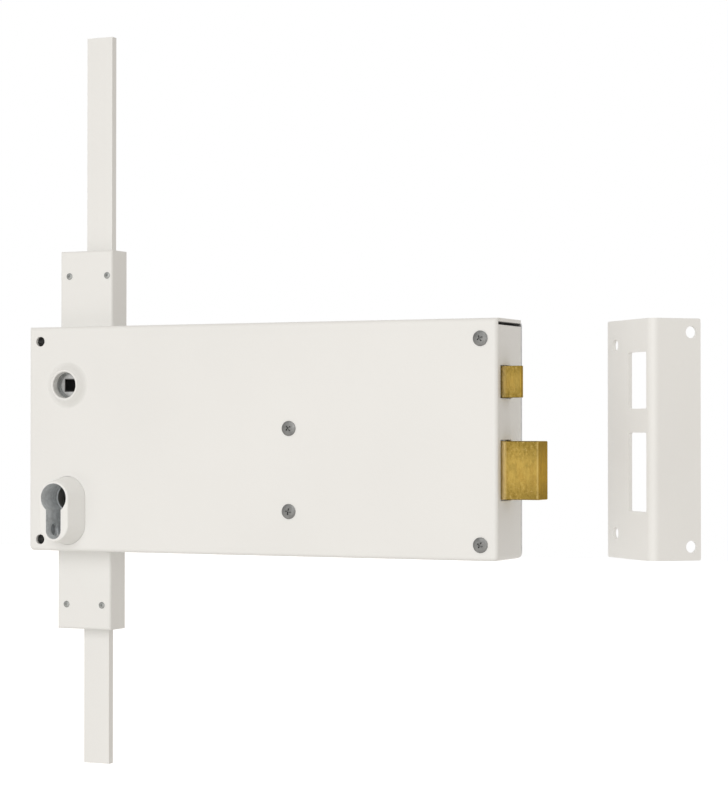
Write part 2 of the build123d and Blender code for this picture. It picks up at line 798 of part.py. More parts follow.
def make_box_cover(side):
    near = side * top
    far = side * (top + box_height(side))
    inner_left, inner_right = box_inside(side)
    shell = slab(field(inner_left - box_sheet, inner_right + box_sheet, min(near, far), max(near, far)), 0, box_depth)
    front_edges = shell.faces().sort_by(Axis.Y)[0].edges()
    folds = [edge for edge in front_edges if abs(edge.center().Z - near) > box_fold_radius]
    shell = fillet(folds, box_fold_radius)
    inner_far = far - side * box_sheet
    inner_near = near - side * cut_over
    shell -= slab(field(inner_left, inner_right, min(inner_near, inner_far), max(inner_near, inner_far)),
                  -cut_over, box_depth - box_sheet)
    # The rod leaves through a slot in the end wall
    slot_half = rod_half + notch_gap
    slot_end = far + side * cut_over
    slot_start = inner_far - side * cut_over
    slot = field(rod_place(side) - slot_half, rod_place(side) + slot_half,
                 min(slot_start, slot_end), max(slot_start, slot_end))
    shell -= slab(slot, -cut_over, rod_front + notch_gap)
    holes = Sketch()
    for x, z in box_screw_places(side):
        holes += disc(x, z, box_screw_radius + slide_gap)
    return shell - slab(holes, box_depth - box_sheet - cut_over, box_depth + cut_over)


def make_box_posts(side):
    roof = box_depth - box_sheet
    floor = box_depth - box_screw_length - cut_over
    posts = []
    for x, z in box_screw_places(side):
        post = slab(disc(x, z, box_post_radius), plate_sheet, roof)
        posts.append(post - slab(disc(x, z, box_screw_radius + running_gap), floor, roof + cut_over))
    return posts


def make_box_screws(side):
    return [
        pan_screw(x, z, box_depth, box_screw_head_radius, box_screw_head_height, box_screw_radius, box_screw_length)
        for x, z in box_screw_places(side)
    ]


def make_rod_guide(side):
    # The saddle at the box's end wall that the rod runs through
    end = side * (top + box_height(side) - box_sheet)
    start = end - side * rod_guide_length
    low, high = min(start, end), max(start, end)
    inner_left, inner_right = box_inside(side)
    block = slab(field(inner_left, inner_right, low, high), plate_sheet, rod_front + rod_guide_roof)
    rod = rod_place(side)
    half = rod_half + slide_gap
    return block - slab(field(rod - half, rod + half, low - cut_over, high + cut_over), 0, rod_front + slide_gap)


# Deadbolt

def bolt_rivet_places():
    lug_middle = bolt_head_rear - bolt_lug_length / 2
    tail_middle = (bolt_tail_bottom + tail_top) / 2
    reach = bolt_lug_length / 2 - rivet_inset
    return [(lug_middle - reach, tail_middle), (lug_middle + reach, tail_middle)]


def make_deadbolt_head():
    low = bolt_head_centre - bolt_head_height / 2
    high = bolt_head_centre + bolt_head_height / 2
    head = slab(field(bolt_head_rear, bolt_tip, low, high), tail_back, bolt_head_front)
    long_edges = head.edges().filter_by(Axis.X) + head.faces().sort_by(Axis.X)[-1].edges()
    head = chamfer(long_edges, bolt_head_chamfer)
    # The tail lies against the lug at the head's rear
    lug_half = bolt_head_height * bolt_lug_share / 2
    lug = slab(field(bolt_head_rear - bolt_lug_length, bolt_head_rear, bolt_head_centre - lug_half,
                     bolt_head_centre + lug_half), tail_front, bolt_head_front - bolt_head_chamfer)
    holes = Sketch()
    for x, z in bolt_rivet_places():
        holes += disc(x, z, rivet_radius + running_gap)
    return head + lug - slab(holes, tail_front - cut_over, bolt_head_front + cut_over)


def make_deadbolt_tail():
    tail_left = left + bolt_tail_left_from_left
    blank = field(tail_left, bolt_head_rear, bolt_tail_bottom, tail_top)
    blank += Pos(pinion_x, pinion_z - pitch_radius) * rack_outline(slide_spine)
    notch_middle = axis_x + bolt_throw / 2
    blank -= field(notch_middle - talon_width / 2, notch_middle + talon_width / 2,
                   bolt_tail_bottom - cut_over, cylinder_z + cam_sweep_radius + cam_clearance)
    for x, z in bolt_rivet_places():
        blank -= disc(x, z, rivet_radius + running_gap)
    return slab(blank, tail_back, tail_front)


def make_deadbolt_rivets():
    front = bolt_head_front - bolt_head_chamfer
    return [
        rivet(x, z, tail_back, front, rivet_radius, rivet_head_sheet / 2, rivet_head_radius)
        for x, z in bolt_rivet_places()
    ]


def head_guide(z_middle, half_height, low, high):
    # The frame behind the right wall that a bolt's head runs through
    end = right - cover_sheet - seat_gap
    start = end - head_guide_length
    frame = slab(field(start, end, z_middle - half_height - head_guide_wall, z_middle + half_height + head_guide_wall),
                 plate_sheet, high + slide_gap + head_guide_wall)
    window = field(start - cut_over, end + cut_over, z_middle - half_height - slide_gap,
                   z_middle + half_height + slide_gap)
    return frame - slab(window, low - slide_gap, high + slide_gap)


def make_bolt_head_guide():
    return head_guide(bolt_head_centre, bolt_head_height / 2, tail_back, bolt_head_front)


def make_bolt_guide():
    # The bridge under the two middle screws, with a window for the deadbolt's tail
    x = left + mid_guide_from_left
    half = mid_guide_length / 2
    bridge = slab(field(x - half, x + half, guide_screw_low - mid_guide_over, guide_screw_high + mid_guide_over),
                  plate_sheet, cover_inside)
    window = field(x - half - cut_over, x + half + cut_over, bolt_tail_bottom - slide_gap, tail_top + slide_gap)
    bridge -= slab(window, tail_back - slide_gap, tail_front + slide_gap)
    # Hollows lighten the casting from the room side, between the screws
    hollow = field(x - half - cut_over, x + half + cut_over, bolt_tail_bottom, tail_top)
    bridge -= slab(hollow, tail_front + guide_roof, cover_inside + cut_over)
    bores = Sketch()
    for height in (guide_screw_high, guide_screw_low):
        bores += disc(x, height, case_screw_radius + running_gap)
    return bridge - slab(bores, case_depth - case_screw_length - cut_over, cover_inside + cut_over)


def make_tail_guide():
    # The block that holds the deadbolt's rack up against the pinion
    half = tail_guide_length / 2
    block = slab(field(pinion_x - half, pinion_x + half, bolt_tail_bottom - tail_guide_wall,
                       bolt_tail_bottom + tail_guide_lip), plate_sheet, tail_front + guide_roof)
    groove = field(pinion_x - half - cut_over, pinion_x + half + cut_over, bolt_tail_bottom - slide_gap,
                   bolt_tail_bottom + tail_guide_lip + cut_over)
    return block - slab(groove, tail_back - slide_gap, tail_front + slide_gap)


def make_friction_spring():
    # A leaf from the middle guide that drags on the deadbolt's tail
    start = left + mid_guide_from_left + mid_guide_length / 2
    end = start + leaf_reach
    touch = tail_front + running_gap
    lift = touch + guide_roof
    points = [
        (start, lift + leaf_foot), (start, lift), (end - leaf_tip, touch), (end, touch + leaf_tip / 2),
        (end, touch + leaf_tip / 2 + leaf_sheet), (end - leaf_tip, touch + leaf_sheet),
        (start + leaf_sheet, lift + leaf_sheet), (start + leaf_sheet, lift + leaf_foot),
    ]
    middle = (bolt_tail_bottom + tail_top) / 2
    strip_plane = Plane(origin=(0, 0, middle - leaf_width / 2), x_dir=(1, 0, 0), z_dir=(0, 0, 1))
    flat = outline(*[(x, -height) for x, height in points])
    return extrude(strip_plane * flat, amount=leaf_width, dir=(0, 0, 1))


# Latch

def latch_tail_centre():
    return latch_tail_low + latch_tail_width / 2 - latch_tail_drop


def latch_pin_hole():
    return disc(latch_rear + latch_pocket_length / 2, latch_tail_centre(), latch_pin_radius + running_gap)


def make_latch_head():
    low = latch_head_centre - latch_head_height / 2
    high = latch_head_centre + latch_head_height / 2
    # The bevel is on the door side, where it rides up the keeper
    ramp_start = right + running_gap
    tip_back = latch_front - latch_tip
    profile = outline(
        (latch_rear, -latch_back), (ramp_start, -latch_back), (latch_tip_x, -tip_back),
        (latch_tip_x, -latch_front), (latch_rear, -latch_front),
    )
    head = extrude(Plane.XY.offset(low) * profile, amount=high - low, dir=(0, 0, 1))
    front_edges = head.faces().sort_by(Axis.Y)[0].edges().filter_by(Axis.X)
    head = chamfer(front_edges, bolt_head_chamfer / 2)
    # The tail enters a slot in the rear of the head
    pocket_half = latch_tail_width / 2 + running_gap
    middle = latch_tail_centre()
    pocket = field(latch_rear - cut_over, latch_rear + latch_pocket_length, middle - pocket_half, middle + pocket_half)
    head -= slab(pocket, latch_back - cut_over, tail_front + running_gap)
    bore = Pos(latch_rear + latch_pocket_length / 2, -spring_height(), latch_head_centre) * Rot(0, 90, 0)
    head -= bore * Cylinder(latch_rod_radius + running_gap, latch_pocket_length + cut_over)
    return head - slab(latch_pin_hole(), latch_back - cut_over, latch_back + latch_pin_length + running_gap)


def spring_height():
    return tail_front + spring_radius + spring_wire + loose_gap


def make_latch_tail():
    hook_right = axis_x - follower_tip_radius - running_gap
    tail_left = hook_right - latch_hook_width
    drop_start = right - latch_tail_drop_from_right
    drop_end = drop_start + latch_tail_drop_run
    low, high = latch_tail_low, latch_tail_high
    head_end = latch_rear + latch_pocket_length - running_gap
    bar = outline(
        (tail_left, low), (drop_start, low), (drop_end, low - latch_tail_drop),
        (head_end, low - latch_tail_drop), (head_end, high - latch_tail_drop),
        (drop_end, high - latch_tail_drop), (drop_start, high), (tail_left, high),
    )
    # The hook hangs beside the follower's finger
    hook_low = follower_z + follower_arm_reach - follower_tip_radius
    bar += field(tail_left, hook_right, hook_low, high)
    return slab(bar - latch_pin_hole(), tail_back, tail_front)


def make_latch_pin():
    pin = disc(latch_rear + latch_pocket_length / 2, latch_tail_centre(), latch_pin_radius)
    return slab(pin, latch_back, latch_back + latch_pin_length)


def make_latch_rod():
    # The spring's guide rod, fixed in the head and sliding in the bracket
    start = latch_rear + latch_pocket_length - latch_rod_length
    middle = Pos(start + latch_rod_length / 2, -spring_height(), latch_head_centre)
    return middle * Rot(0, 90, 0) * Cylinder(latch_rod_radius, latch_rod_length)


def bracket_right():
    return latch_rear - spring_length - spring_wire - 2 * seat_gap


def make_spring_bracket():
    end = bracket_right()
    start = end - bracket_sheet
    low = latch_tail_centre() - latch_tail_width / 2 - bracket_side
    high = latch_head_centre + spring_radius + bracket_side
    roof = spring_height() + spring_radius + spring_wire
    wall = slab(field(start, end, low, high), plate_sheet, roof)
    wall += slab(field(start - bracket_foot, end, low, high), plate_sheet, plate_sheet + bracket_sheet)
    half = latch_tail_width / 2 + slide_gap
    window = field(start - cut_over, end + cut_over, latch_tail_centre() - half, latch_tail_centre() + half)
    wall -= slab(window, tail_back - slide_gap, tail_front + slide_gap)
    bore = Pos(start, -spring_height(), latch_head_centre) * Rot(0, 90, 0)
    return wall - bore * Cylinder(latch_rod_radius + running_gap, 2 * bracket_sheet + cut_over)


def make_bracket_rivets():
    x = bracket_right() - bracket_sheet - bracket_foot / 2
    z_low = latch_tail_centre() - latch_tail_width / 2 - bracket_side + rivet_inset
    z_high = latch_head_centre + spring_radius + bracket_side - rivet_inset
    seat = plate_sheet + bracket_sheet
    return [slab(disc(x, z, rivet_radius), seat, seat + rivet_head_sheet) for z in (z_low, z_high)]


def make_latch_spring():
    # One open coil from the bracket to the latch head
    path = coil_path()
    start, way = helix_point(0)
    tube = sweep(Plane(origin=start, z_dir=way) * Circle(spring_wire / 2), path=path)
    seat = bracket_right() + spring_wire / 2 + seat_gap
    return Pos(seat, -spring_height(), latch_head_centre) * Rot(0, 90, 0) * tube


def spring_least_gap():
    # Nearest approach of one turn to the next, on points of the centre line, less the wire
    steps = 48
    points = [tuple(helix_point(2 * pi * step / steps)[0]) for step in range(steps * spring_turns)]
    gaps = []
    for first in range(len(points)):
        for second in range(first + steps // 2, min(first + 2 * steps, len(points))):
            gaps.append(dist(points[first], points[second]))
    return min(gaps) - spring_wire


def make_latch_head_guide():
    return head_guide(latch_head_centre, latch_head_height / 2, latch_back, latch_front)


def make_latch_tail_guide():
    x_low = left + latch_guide_from_left
    x_high = x_low + latch_guide_length
    block = slab(field(x_low, x_high, latch_tail_low - latch_guide_wall, latch_tail_high + latch_guide_wall),
                 plate_sheet, tail_front + guide_roof)
    groove = field(x_low - cut_over, x_high + cut_over, latch_tail_low - slide_gap, latch_tail_high + slide_gap)
    return block - slab(groove, tail_back - slide_gap, tail_front + slide_gap)


def make_handle_follower():
    nose = case_depth - follower_nose_recess
    body_low = tail_back - follower_skirt
    body_high = tail_front + follower_skirt
    hub = slab(disc(0, 0, follower_journal_radius), running_gap, body_low)
    hub += slab(disc(0, 0, follower_body_radius), body_low, body_high)
    hub += slab(disc(0, 0, follower_nose_radius), body_high, nose)
    finger = disc(0, follower_arm_reach, follower_tip_radius)
    finger += field(-follower_tip_radius, follower_tip_radius, 0, follower_arm_reach)
    hub += slab(finger, tail_back, tail_front)
    hub -= slab(Rectangle(spindle_square, spindle_square), -cut_over, nose + cut_over)
    return Pos(axis_x, 0, follower_z) * hub


# Keeper

def make_keeper():
    # Drawn with the bend at the origin: one leg along +X, the other along +Y, then turned and placed
    sheet, radius = keeper_sheet, keeper_bend_radius
    section = outline((0, 0), (keeper_side_leg, 0), (keeper_side_leg, sheet), (sheet, sheet),
                      (sheet, keeper_front_leg), (0, keeper_front_leg))
    angle = extrude(Plane.XY.offset(-keeper_height / 2) * section, amount=keeper_height, dir=(0, 0, 1))
    upright = angle.edges().filter_by(Axis.Z)
    outer = upright.sort_by_distance((0, 0, 0))[0]
    angle = fillet(outer, radius)
    inner = angle.edges().filter_by(Axis.Z).sort_by_distance((sheet, sheet, 0))[0]
    angle = fillet(inner, radius - sheet)
    corners = []
    for edge in angle.edges().filter_by(Axis.X) + angle.edges().filter_by(Axis.Y):
        if edge.length < sheet * edge_match_share:
            corners.append(edge)
    angle = fillet(corners, keeper_end_round)
    # Slots for the latch and the deadbolt in the wide leg, on the plane X = 0
    slot_middle = keeper_slot_from_corner + keeper_slot_width / 2
    latch_half = latch_head_height / 2
    bolt_half = bolt_head_height / 2
    slots = (
        (latch_head_centre - latch_half - keeper_room_under_latch,
         latch_head_centre + latch_half + keeper_room_over_latch),
        (bolt_head_centre - bolt_half - keeper_room_under_bolt,
         bolt_head_centre + bolt_half + keeper_room_over_bolt),
    )
    for low, high in slots:
        slot = Pos(slot_middle, (low + high) / 2) * RectangleRounded(keeper_slot_width, high - low, keeper_slot_round)
        angle -= extrude(Plane.YZ.offset(-cut_over) * slot, amount=sheet + 2 * cut_over)
    for side in (1, -1):
        front_hole_z = side * (keeper_height / 2 - keeper_front_hole_from_end)
        side_hole_z = side * (keeper_height / 2 - keeper_side_hole_from_end)
        front_hole = Pos(keeper_front_hole_from_corner, front_hole_z) * Circle(keeper_hole_radius)
        angle -= extrude(Plane.YZ.offset(-cut_over) * front_hole, amount=sheet + 2 * cut_over)
        side_hole = Pos(keeper_side_hole_from_corner, side_hole_z) * Circle(keeper_hole_radius)
        angle -= extrude(Plane.XZ.offset(-sheet - cut_over) * side_hole, amount=sheet + 2 * cut_over)
    return Pos(keeper_corner_x, -keeper_corner_height, 0) * Rot(0, 0, keeper_turn) * angle


pieces = {
    "back_plate": make_back_plate(),
    "cover": make_cover(),
    "cylinder_collar": make_cylinder_collar(),
    "follower_bush": make_follower_bush(),
    "cover_corner_screws": make_corner_screws(),
    "guide_screws": make_guide_screws(),
    "cover_pillars": make_cover_pillars(),
    "fixing_sleeves": make_fixing_sleeves(),
    "cylinder_screw_block": make_screw_block(),
    "cylinder_fixing_screw": make_cylinder_screw(),
    "bolt_guide": make_bolt_guide(),
    "bolt_head_guide": make_bolt_head_guide(),
    "tail_guide": make_tail_guide(),
    "bolt_friction_spring": make_friction_spring(),
    "latch_head_guide": make_latch_head_guide(),
    "latch_tail_guide": make_latch_tail_guide(),
    "spring_bracket": make_spring_bracket(),
    "bracket_rivets": make_bracket_rivets(),
    "latch_spring": make_latch_spring(),
    "pinion_stud": make_pinion_stud(),
    "pinion_clip": make_pinion_clip(),
    "rack_guides": make_rack_guides(),
    "upper_box_cover": make_box_cover(1),
    "upper_box_posts": make_box_posts(1),
    "upper_box_screws": make_box_screws(1),
    "upper_rod_guide": make_rod_guide(1),
    "lower_box_cover": make_box_cover(-1),
    "lower_box_posts": make_box_posts(-1),
    "lower_box_screws": make_box_screws(-1),
    "lower_rod_guide": make_rod_guide(-1),
    "keeper": make_keeper(),
    "deadbolt_head": make_deadbolt_head(),
    "deadbolt_tail": make_deadbolt_tail(),
    "deadbolt_rivets": make_deadbolt_rivets(),
    "latch_head": make_latch_head(),
    "latch_tail": make_latch_tail(),
    "latch_pin": make_latch_pin(),
    "latch_guide_rod": make_latch_rod(),
    "handle_follower": make_handle_follower(),
    "drive_pinion": make_drive_pinion(),
    "upper_slide": make_upper_slide(),
    "upper_rod": make_rod(1, upper_rod_top),
    "upper_coupling_screws": make_coupling_screws(1),
    "lower_slide": make_lower_slide(),
    "lower_rod": make_rod(-1, lower_rod_bottom),
    "lower_coupling_screws": make_coupling_screws(-1),
}

os.makedirs("parts", exist_ok=True)
for node, piece in pieces.items():
    shape = Compound(children=list(piece)) if isinstance(piece, list) else piece
    export_step(shape, f"parts/{node}.step")
print("least gap between spring turns", round(spring_least_gap(), 2))
print("nodes", len(pieces))
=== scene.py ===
import json
from math import pi, radians, sqrt

import bmesh
import bpy
from mathutils import Matrix, Vector


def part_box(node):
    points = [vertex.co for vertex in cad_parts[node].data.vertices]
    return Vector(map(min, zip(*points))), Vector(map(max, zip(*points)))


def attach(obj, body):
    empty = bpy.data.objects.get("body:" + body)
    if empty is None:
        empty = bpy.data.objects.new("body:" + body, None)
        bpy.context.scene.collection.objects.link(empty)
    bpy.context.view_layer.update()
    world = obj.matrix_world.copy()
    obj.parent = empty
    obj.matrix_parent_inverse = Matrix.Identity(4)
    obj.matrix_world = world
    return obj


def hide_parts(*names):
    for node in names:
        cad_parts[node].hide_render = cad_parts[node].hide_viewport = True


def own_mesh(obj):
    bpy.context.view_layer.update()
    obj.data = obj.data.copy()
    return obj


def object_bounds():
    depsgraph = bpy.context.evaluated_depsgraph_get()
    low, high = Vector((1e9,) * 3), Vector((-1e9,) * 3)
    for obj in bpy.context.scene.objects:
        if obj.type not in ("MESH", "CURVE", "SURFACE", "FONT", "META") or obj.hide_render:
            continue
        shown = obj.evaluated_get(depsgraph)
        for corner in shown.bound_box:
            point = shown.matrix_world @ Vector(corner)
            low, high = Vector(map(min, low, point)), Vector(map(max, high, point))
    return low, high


# A white surface-mounted door lock with its rods and keeper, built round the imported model.
# Metres; X runs to the bolts, Z up, and the room side of the lock faces -Y.

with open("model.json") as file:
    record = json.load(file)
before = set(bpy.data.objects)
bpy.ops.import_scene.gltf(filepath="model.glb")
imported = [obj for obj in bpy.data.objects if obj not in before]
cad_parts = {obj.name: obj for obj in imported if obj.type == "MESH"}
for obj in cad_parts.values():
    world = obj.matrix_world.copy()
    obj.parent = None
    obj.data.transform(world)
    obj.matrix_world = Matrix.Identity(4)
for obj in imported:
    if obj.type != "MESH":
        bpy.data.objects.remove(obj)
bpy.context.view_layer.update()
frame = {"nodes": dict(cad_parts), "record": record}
nodes = frame["nodes"]
mounts = {mount["name"]: mount for mount in frame["record"]["mounts"]}
print("frame loaded:", len(nodes), "nodes")


# Small helpers for shader and geometry trees

def link(tree, fromSocket, toSocket):
    tree.links.new(fromSocket, toSocket)


def addNode(tree, kind, **settings):
    node = tree.nodes.new(kind)
    for name, value in settings.items():
        setattr(node, name, value)
    return node


def setInputs(node, **values):
    for name, value in values.items():
        node.inputs[name.replace("_", " ")].default_value = value
    return node


def split(tree, place):
    # The X, Y and Z of a place
    parts = addNode(tree, "ShaderNodeSeparateXYZ")
    link(tree, place, parts.inputs[0])
    return parts.outputs


def vector(tree, x=0.0, y=0.0, z=0.0):
    node = addNode(tree, "ShaderNodeCombineXYZ")
    for socket, value in zip(node.inputs, (x, y, z)):
        if isinstance(value, (int, float)):
            socket.default_value = value
        else:
            link(tree, value, socket)
    return node.outputs[0]


def calc(tree, operation, first, second=None):
    node = addNode(tree, "ShaderNodeMath", operation=operation)
    for socket, value in zip(node.inputs, (first, second)):
        if isinstance(value, (int, float)):
            socket.default_value = value
        elif value is not None:
            link(tree, value, socket)
    return node.outputs[0]


def squareSum(tree, first, second):
    return calc(tree, "ADD", calc(tree, "POWER", first, 2), calc(tree, "POWER", second, 2))


def spread(tree, fac, low, high):
    # 0 to 1 made to run from low to high
    node = addNode(tree, "ShaderNodeMapRange")
    setInputs(node, To_Min=low, To_Max=high)
    link(tree, fac, node.inputs["Value"])
    return node.outputs["Result"]


def rise(tree, value, start, end):
    # 0 up to the start, 1 from the end on
    node = addNode(tree, "ShaderNodeMapRange")
    setInputs(node, From_Min=start, From_Max=end)
    link(tree, value, node.inputs["Value"])
    return node.outputs["Result"]


def within(tree, value, middle, reach, soft):
    # 1 near the middle, falling to 0 over the soft band past the reach
    away = calc(tree, "ABSOLUTE", calc(tree, "SUBTRACT", value, middle))
    over = calc(tree, "DIVIDE", calc(tree, "SUBTRACT", away, reach), soft)
    return calc(tree, "SUBTRACT", 1, calc(tree, "MINIMUM", calc(tree, "MAXIMUM", over, 0), 1))


def noise(tree, place, scale, detail=3.0, roughness=0.55, stretch=None):
    # Noise on object coordinates; a small share in stretch draws it out along that axis
    source = place
    if stretch:
        mapping = addNode(tree, "ShaderNodeMapping")
        mapping.inputs["Scale"].default_value = stretch
        link(tree, place, mapping.inputs["Vector"])
        source = mapping.outputs["Vector"]
    node = addNode(tree, "ShaderNodeTexNoise")
    setInputs(node, Scale=scale, Detail=detail, Roughness=roughness)
    link(tree, source, node.inputs["Vector"])
    return node.outputs["Fac"]


def ramp(tree, fac, bands, colours):
    # Each colour at its own place in the bands
    node = addNode(tree, "ShaderNodeValToRGB")
    elements = node.color_ramp.elements
    while len(elements) < len(bands):
        elements.new(0.5)
    for element, band, colour in zip(elements, bands, colours):
        element.position = band
        element.color = (*colour, 1)
    link(tree, fac, node.inputs["Fac"])
    return node.outputs["Color"]


def blend(tree, fac, first, second, way="MIX"):
    node = addNode(tree, "ShaderNodeMix", data_type="RGBA", blend_type=way)
    for socket, value in zip(("Factor", "A", "B"), (fac, first, second)):
        if isinstance(value, tuple):
            node.inputs[socket].default_value = (*value, 1)
        else:
            link(tree, value, node.inputs[socket])
    return node.outputs["Result"]


def bump(tree, height, strength, distance, under=None):
    node = addNode(tree, "ShaderNodeBump")
    setInputs(node, Strength=strength, Distance=distance)
    link(tree, height, node.inputs["Height"])
    if under:
        link(tree, under, node.inputs["Normal"])
    return node.outputs["Normal"]


def mixShaders(tree, fac, first, second, output="Material Output"):
    # The first shader where the factor is 0 and the second where it is 1, sent to the output
    mix = addNode(tree, "ShaderNodeMixShader")
    for socket, source in zip(mix.inputs, (fac, first.outputs[0], second.outputs[0])):
        link(tree, source, socket)
    link(tree, mix.outputs[0], tree.nodes[output].inputs["Surface"])


def startMaterial(name):
    material = bpy.data.materials.new(name)
    material.use_nodes = True
    tree = material.node_tree
    shader = tree.nodes["Principled BSDF"]
    place = addNode(tree, "ShaderNodeTexCoord").outputs["Object"]
    return material, tree, shader, place


def shades(colour, *shares):
    return [tuple(channel * share for channel in colour) for share in shares]


black, white = (0, 0, 0), (1, 1, 1)


# Where the spindle and the key cylinder sit

spindle = mounts["spindle_square"]["pos_m"]
bore = mounts["cylinder_bore"]
keyhole = {"x": bore["pos_m"][0], "ring": bore["pos_m"][2],
           "ringRadius": bore["dims"]["r_mm"] / 1000, "neckRadius": 0.0053, "height": 0.0344}
keyholeTop = keyhole["ring"] + keyhole["ringRadius"]
keyhole["foot"] = keyholeTop - keyhole["height"] + keyhole["neckRadius"]

# The blind hole drilled in the left wall of the keyhole's neck
pocket = {"x": keyhole["x"] - keyhole["neckRadius"], "y": -0.0462, "z": keyhole["foot"],
          "radius": 0.0042, "depth": 0.0028}


def fromSpindle(tree, place):
    # How far a point lies from the spindle's axis, round it and as a square
    x, _, z = split(tree, place)
    sideways = calc(tree, "ABSOLUTE", calc(tree, "SUBTRACT", x, spindle[0]))
    upright = calc(tree, "ABSOLUTE", calc(tree, "SUBTRACT", z, spindle[2]))
    around = calc(tree, "SQRT", squareSum(tree, sideways, upright))
    return around, calc(tree, "MAXIMUM", sideways, upright)


def onKeyholeWalls(tree, place):
    # 1 on the walls of the keyhole and of its drilled pocket, and 0 on the collar's outside
    look = {"skin": 0.00015, "edge": 0.0001}
    x, y, z = split(tree, place)
    across = calc(tree, "SUBTRACT", x, keyhole["x"])

    def past(middle, radius):
        fromMiddle = squareSum(tree, across, calc(tree, "SUBTRACT", z, middle))
        return calc(tree, "SUBTRACT", calc(tree, "SQRT", fromMiddle), radius)

    nearest = calc(tree, "MINIMUM", calc(tree, "MAXIMUM", z, keyhole["foot"]), keyhole["ring"])
    ring = past(keyhole["ring"], keyhole["ringRadius"])
    neck = past(nearest, keyhole["neckRadius"])
    passage = calc(tree, "LESS_THAN", calc(tree, "MINIMUM", ring, neck), look["skin"])
    half, reach = pocket["depth"] / 2 + look["edge"], pocket["radius"] + look["edge"]
    drilled = within(tree, x, pocket["x"] - pocket["depth"] / 2, half, look["edge"])
    for axis, middle in ((y, pocket["y"]), (z, pocket["z"])):
        drilled = calc(tree, "MULTIPLY", drilled, within(tree, axis, middle, reach, look["edge"]))
    return calc(tree, "MAXIMUM", passage, drilled)


# Finishes; a pattern is its scale, detail, roughness and stretch, and a bump its strength and depth

def makeWhitePaint(name="whitePaint", share=1.0):
    # Satin powder coat with a fine orange peel
    look = {"colour": (0.850, 0.857, 0.846), "shares": (0.982, 1.0, 1.012),
            "bands": (0.3, 0.5, 0.7), "patch": (9, 2), "smudge": 120, "roughness": (0.36, 0.48),
            "peel": (650, 2), "peelBump": (0.10, 0.0004), "fine": (2600, 1),
            "fineBump": (0.05, 0.0001), "gloss": 0.35}
    material, tree, shader, place = startMaterial(name)
    colours = shades(look["colour"], *(part * share for part in look["shares"]))
    tone = ramp(tree, noise(tree, place, *look["patch"]), look["bands"], colours)
    link(tree, tone, shader.inputs["Base Color"])
    rough = spread(tree, noise(tree, place, look["smudge"]), *look["roughness"])
    link(tree, rough, shader.inputs["Roughness"])
    peel = bump(tree, noise(tree, place, *look["peel"]), *look["peelBump"])
    fine = bump(tree, noise(tree, place, *look["fine"]), *look["fineBump"], under=peel)
    link(tree, fine, shader.inputs["Normal"])
    setInputs(shader, Specular_IOR_Level=look["gloss"])
    return material, tree, shader, place


def makeCoverPaint():
    # Painted shade: the powder coat is greyed in the hollow round the pressed boss, on the side of
    # the bolts
    look = {"radius": 0.0124, "half": 0.0008, "soft": 0.0017, "grey": (0.915, 0.915, 0.91),
            "start": -0.007, "end": 0.003}
    paint, tree, shader, place = makeWhitePaint("coverPaint")
    around = fromSpindle(tree, place)[0]
    bossShadeRing = within(tree, around, look["radius"], look["half"], look["soft"])
    side = rise(tree, split(tree, place)[0], spindle[0] + look["start"], spindle[0] + look["end"])
    # Painted shade, multiplied into the paint's colour
    socket = shader.inputs["Base Color"]
    shadedTone = blend(tree, calc(tree, "MULTIPLY", bossShadeRing, side), socket.links[0].from_socket,
                   look["grey"], "MULTIPLY")
    link(tree, shadedTone, socket)
    return paint


def makeCollarPaint():
    # The same powder coat outside, with the keyhole's walls left as bare cast metal, and painted
    # shade on the floor of the drilled pocket
    look = {"paintShare": 1.03, "colour": (0.72, 0.755, 0.775), "shares": (0.86, 1.1),
            "bands": (0.35, 0.65), "grain": 380, "fine": 1140, "fineBump": (0.15, 0.0002),
            "roughness": 0.5, "floor": (0.68, 0.68, 0.68), "floorHalf": 0.0006,
            "floorSoft": 0.0004, "edge": 0.0001}
    paint, tree, shader, place = makeWhitePaint("collarPaint", look["paintShare"])
    bare = addNode(tree, "ShaderNodeBsdfPrincipled")
    colours = shades(look["colour"], *look["shares"])
    cast = ramp(tree, noise(tree, place, look["grain"]), look["bands"], colours)
    x, _, z = split(tree, place)
    # Painted shade: the bare metal darkened on the pocket's floor
    onFloor = within(tree, x, pocket["x"] - pocket["depth"], look["floorHalf"], look["floorSoft"])
    inHole = within(tree, z, pocket["z"], pocket["radius"], look["edge"])
    floor = calc(tree, "MULTIPLY", onFloor, inHole)
    link(tree, blend(tree, floor, cast, look["floor"], "MULTIPLY"), bare.inputs["Base Color"])
    setInputs(bare, Roughness=look["roughness"])
    fine = noise(tree, place, look["fine"])
    link(tree, bump(tree, fine, *look["fineBump"]), bare.inputs["Normal"])
    mixShaders(tree, onKeyholeWalls(tree, place), shader, bare)
    return paint


